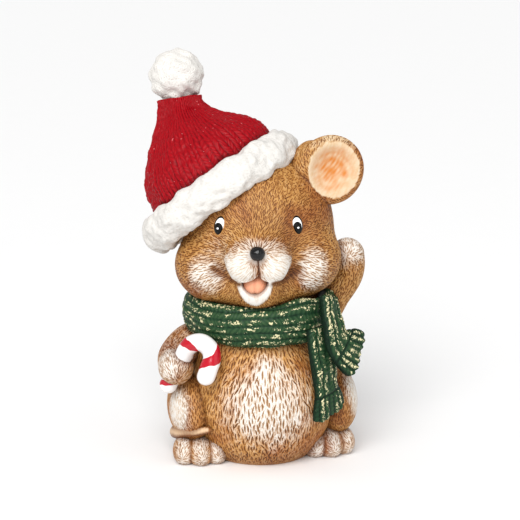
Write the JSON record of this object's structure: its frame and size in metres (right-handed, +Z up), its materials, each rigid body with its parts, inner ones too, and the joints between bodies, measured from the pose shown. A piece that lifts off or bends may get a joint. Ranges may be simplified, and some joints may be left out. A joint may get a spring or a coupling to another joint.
{
  "type": "hamster figurine",
  "caption": "Painted cast-resin figurine of a seated hamster in a knitted hat and scarf, with a raised paw and a candy cane; it stands on a flat underside.",
  "frame": {"origin": "middle of the felt pad on the underside, on the plane that the figurine stands on", "axes": "+Z up, the face looks along -Y, +X towards the raised paw"},
  "size_m": [0.1072, 0.0875, 0.1958],
  "materials": {
    "fur_paint": "satin brown paint over carved fur, dry-brushed cream",
    "pale_fur_paint": "satin brown paint, heavily dry-brushed cream",
    "skin_paint": "satin tan paint on a smooth skin",
    "eye_enamel": "gloss white with a black pupil",
    "nose_enamel": "gloss black",
    "tongue_paint": "satin salmon pink",
    "red_paint": "satin red over a carved rib knit",
    "white_paint": "matt white over carved plush",
    "green_paint": "satin dark green over a carved rib knit, dry-brushed pale gold",
    "candy_enamel": "gloss white with red stripes",
    "felt": "dark felt"
  },
  "bodies": {
    "root": {"torso_casting": "fur_paint", "base_pad": "felt", "right_haunch": "fur_paint", "left_haunch": "fur_paint", "right_foot": "pale_fur_paint", "left_foot": "pale_fur_paint", "tail": "skin_paint", "right_arm": "fur_paint", "left_arm": "fur_paint", "head_casting": "fur_paint", "left_ear": "fur_paint", "right_eye": "eye_enamel", "left_eye": "eye_enamel", "nose": "nose_enamel", "tongue": "tongue_paint", "hat_crown": "red_paint", "hat_cuff": "white_paint", "hat_pompom": "white_paint", "scarf_loop": "green_paint", "scarf_long_end": "green_paint", "scarf_short_end": "green_paint", "candy_cane": "candy_enamel"}
  },
  "joints": []
}
